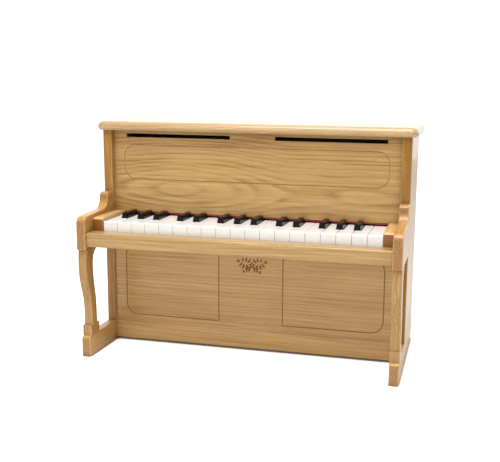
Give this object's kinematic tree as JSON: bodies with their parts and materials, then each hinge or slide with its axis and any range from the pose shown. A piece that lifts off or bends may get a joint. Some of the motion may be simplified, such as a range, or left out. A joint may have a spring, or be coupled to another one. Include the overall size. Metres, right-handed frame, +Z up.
{
  "type": "toy piano",
  "caption": "Toy upright piano in light oak with cabriole legs, a playable keyboard of white and black keys, and hammers that strike tuned aluminium pipes inside the case.",
  "frame": {"origin": "on the floor under the middle of the piano's outline", "axes": "+X to the player's right along the keyboard, +Y from the player to the back, +Z up"},
  "size_m": [0.425, 0.2052, 0.3027],
  "materials": {
    "oak": "satin lacquer",
    "plywood": "raw",
    "white_plastic": "gloss",
    "black_plastic": "gloss",
    "grey_plastic": "matt",
    "red_felt": "felt",
    "grey_felt": "felt",
    "steel": "bright",
    "aluminium": "drawn"
  },
  "bodies": {
    "case": {"top_board": "oak", "left_side_panel": "oak", "right_side_panel": "oak", "upper_front_panel": "oak", "lower_front_panel": "oak", "bottom_rail": "oak", "bottom_board": "plywood", "back_panel": "plywood", "key_bed": "plywood", "key_slip": "oak", "left_key_block": "oak", "right_key_block": "oak", "left_arm": "oak", "right_arm": "oak", "left_leg": "oak", "right_leg": "oak", "left_foot": "oak", "right_foot": "oak", "name_felt": "red_felt", "balance_rail": "grey_plastic", "key_pivot_rod": "steel", "front_stop_felt": "grey_felt", "rest_felt": "grey_felt", "tone_pipes": "aluminium", "pipe_rails": "plywood", "pipe_clamps": "plywood", "pipe_felts": "grey_felt", "wood_screws": "steel"},
    "white_key_01": {"white_key_01": "white_plastic"},
    "black_key_01": {"black_key_01": "black_plastic"},
    "white_key_02": {"white_key_02": "white_plastic"},
    "black_key_02": {"black_key_02": "black_plastic"},
    "white_key_03": {"white_key_03": "white_plastic"},
    "black_key_03": {"black_key_03": "black_plastic"},
    "white_key_04": {"white_key_04": "white_plastic"},
    "white_key_05": {"white_key_05": "white_plastic"},
    "black_key_04": {"black_key_04": "black_plastic"},
    "white_key_06": {"white_key_06": "white_plastic"},
    "black_key_05": {"black_key_05": "black_plastic"},
    "white_key_07": {"white_key_07": "white_plastic"},
    "white_key_08": {"white_key_08": "white_plastic"},
    "black_key_06": {"black_key_06": "black_plastic"},
    "white_key_09": {"white_key_09": "white_plastic"},
    "black_key_07": {"black_key_07": "black_plastic"},
    "white_key_10": {"white_key_10": "white_plastic"},
    "black_key_08": {"black_key_08": "black_plastic"},
    "white_key_11": {"white_key_11": "white_plastic"},
    "white_key_12": {"white_key_12": "white_plastic"},
    "black_key_09": {"black_key_09": "black_plastic"},
    "white_key_13": {"white_key_13": "white_plastic"},
    "black_key_10": {"black_key_10": "black_plastic"},
    "white_key_14": {"white_key_14": "white_plastic"},
    "white_key_15": {"white_key_15": "white_plastic"},
    "black_key_11": {"black_key_11": "black_plastic"},
    "white_key_16": {"white_key_16": "white_plastic"},
    "black_key_12": {"black_key_12": "black_plastic"},
    "white_key_17": {"white_key_17": "white_plastic"},
    "black_key_13": {"black_key_13": "black_plastic"},
    "white_key_18": {"white_key_18": "white_plastic"},
    "white_key_19": {"white_key_19": "white_plastic"}
  },
  "joints": [
    {"name": "white_key_01_press", "type": "hinge", "parent": "case", "child": "white_key_01", "pos_m": [-0.17561, 0.00539, 0.1679], "axis": [1, 0, 0], "range_deg": [0, 4]},
    {"name": "black_key_01_press", "type": "hinge", "parent": "case", "child": "black_key_01", "pos_m": [-0.16459, 0.00539, 0.1679], "axis": [1, 0, 0], "range_deg": [0, 4]},
    {"name": "white_key_02_press", "type": "hinge", "parent": "case", "child": "white_key_02", "pos_m": [-0.15356, 0.00539, 0.1679], "axis": [1, 0, 0], "range_deg": [0, 4]},
    {"name": "black_key_02_press", "type": "hinge", "parent": "case", "child": "black_key_02", "pos_m": [-0.14254, 0.00539, 0.1679], "axis": [1, 0, 0], "range_deg": [0, 4]},
    {"name": "white_key_03_press", "type": "hinge", "parent": "case", "child": "white_key_03", "pos_m": [-0.13151, 0.00539, 0.1679], "axis": [1, 0, 0], "range_deg": [0, 4]},
    {"name": "black_key_03_press", "type": "hinge", "parent": "case", "child": "black_key_03", "pos_m": [-0.12049, 0.00539, 0.1679], "axis": [1, 0, 0], "range_deg": [0, 4]},
    {"name": "white_key_04_press", "type": "hinge", "parent": "case", "child": "white_key_04", "pos_m": [-0.10946, 0.00539, 0.1679], "axis": [1, 0, 0], "range_deg": [0, 4]},
    {"name": "white_key_05_press", "type": "hinge", "parent": "case", "child": "white_key_05", "pos_m": [-0.09844, 0.00539, 0.1679], "axis": [1, 0, 0], "range_deg": [0, 4]},
    {"name": "black_key_04_press", "type": "hinge", "parent": "case", "child": "black_key_04", "pos_m": [-0.08741, 0.00539, 0.1679], "axis": [1, 0, 0], "range_deg": [0, 4]},
    {"name": "white_key_06_press", "type": "hinge", "parent": "case", "child": "white_key_06", "pos_m": [-0.07639, 0.00539, 0.1679], "axis": [1, 0, 0], "range_deg": [0, 4]},
    {"name": "black_key_05_press", "type": "hinge", "parent": "case", "child": "black_key_05", "pos_m": [-0.06536, 0.00539, 0.1679], "axis": [1, 0, 0], "range_deg": [0, 4]},
    {"name": "white_key_07_press", "type": "hinge", "parent": "case", "child": "white_key_07", "pos_m": [-0.05434, 0.00539, 0.1679], "axis": [1, 0, 0], "range_deg": [0, 4]},
    {"name": "white_key_08_press", "type": "hinge", "parent": "case", "child": "white_key_08", "pos_m": [-0.04331, 0.00539, 0.1679], "axis": [1, 0, 0], "range_deg": [0, 4]},
    {"name": "black_key_06_press", "type": "hinge", "parent": "case", "child": "black_key_06", "pos_m": [-0.03229, 0.00539, 0.1679], "axis": [1, 0, 0], "range_deg": [0, 4]},
    {"name": "white_key_09_press", "type": "hinge", "parent": "case", "child": "white_key_09", "pos_m": [-0.02126, 0.00539, 0.1679], "axis": [1, 0, 0], "range_deg": [0, 4]},
    {"name": "black_key_07_press", "type": "hinge", "parent": "case", "child": "black_key_07", "pos_m": [-0.01024, 0.00539, 0.1679], "axis": [1, 0, 0], "range_deg": [0, 4]},
    {"name": "white_key_10_press", "type": "hinge", "parent": "case", "child": "white_key_10", "pos_m": [0.00079, 0.00539, 0.1679], "axis": [1, 0, 0], "range_deg": [0, 4]},
    {"name": "black_key_08_press", "type": "hinge", "parent": "case", "child": "black_key_08", "pos_m": [0.01181, 0.00539, 0.1679], "axis": [1, 0, 0], "range_deg": [0, 4]},
    {"name": "white_key_11_press", "type": "hinge", "parent": "case", "child": "white_key_11", "pos_m": [0.02284, 0.00539, 0.1679], "axis": [1, 0, 0], "range_deg": [0, 4]},
    {"name": "white_key_12_press", "type": "hinge", "parent": "case", "child": "white_key_12", "pos_m": [0.03386, 0.00539, 0.1679], "axis": [1, 0, 0], "range_deg": [0, 4]},
    {"name": "black_key_09_press", "type": "hinge", "parent": "case", "child": "black_key_09", "pos_m": [0.04489, 0.00539, 0.1679], "axis": [1, 0, 0], "range_deg": [0, 4]},
    {"name": "white_key_13_press", "type": "hinge", "parent": "case", "child": "white_key_13", "pos_m": [0.05591, 0.00539, 0.1679], "axis": [1, 0, 0], "range_deg": [0, 4]},
    {"name": "black_key_10_press", "type": "hinge", "parent": "case", "child": "black_key_10", "pos_m": [0.06694, 0.00539, 0.1679], "axis": [1, 0, 0], "range_deg": [0, 4]},
    {"name": "white_key_14_press", "type": "hinge", "parent": "case", "child": "white_key_14", "pos_m": [0.07796, 0.00539, 0.1679], "axis": [1, 0, 0], "range_deg": [0, 4]},
    {"name": "white_key_15_press", "type": "hinge", "parent": "case", "child": "white_key_15", "pos_m": [0.08899, 0.00539, 0.1679], "axis": [1, 0, 0], "range_deg": [0, 4]},
    {"name": "black_key_11_press", "type": "hinge", "parent": "case", "child": "black_key_11", "pos_m": [0.10001, 0.00539, 0.1679], "axis": [1, 0, 0], "range_deg": [0, 4]},
    {"name": "white_key_16_press", "type": "hinge", "parent": "case", "child": "white_key_16", "pos_m": [0.11104, 0.00539, 0.1679], "axis": [1, 0, 0], "range_deg": [0, 4]},
    {"name": "black_key_12_press", "type": "hinge", "parent": "case", "child": "black_key_12", "pos_m": [0.12206, 0.00539, 0.1679], "axis": [1, 0, 0], "range_deg": [0, 4]},
    {"name": "white_key_17_press", "type": "hinge", "parent": "case", "child": "white_key_17", "pos_m": [0.13309, 0.00539, 0.1679], "axis": [1, 0, 0], "range_deg": [0, 4]},
    {"name": "black_key_13_press", "type": "hinge", "parent": "case", "child": "black_key_13", "pos_m": [0.14411, 0.00539, 0.1679], "axis": [1, 0, 0], "range_deg": [0, 4]},
    {"name": "white_key_18_press", "type": "hinge", "parent": "case", "child": "white_key_18", "pos_m": [0.15514, 0.00539, 0.1679], "axis": [1, 0, 0], "range_deg": [0, 4]},
    {"name": "white_key_19_press", "type": "hinge", "parent": "case", "child": "white_key_19", "pos_m": [0.16616, 0.00539, 0.1679], "axis": [1, 0, 0], "range_deg": [0, 4]}
  ]
}
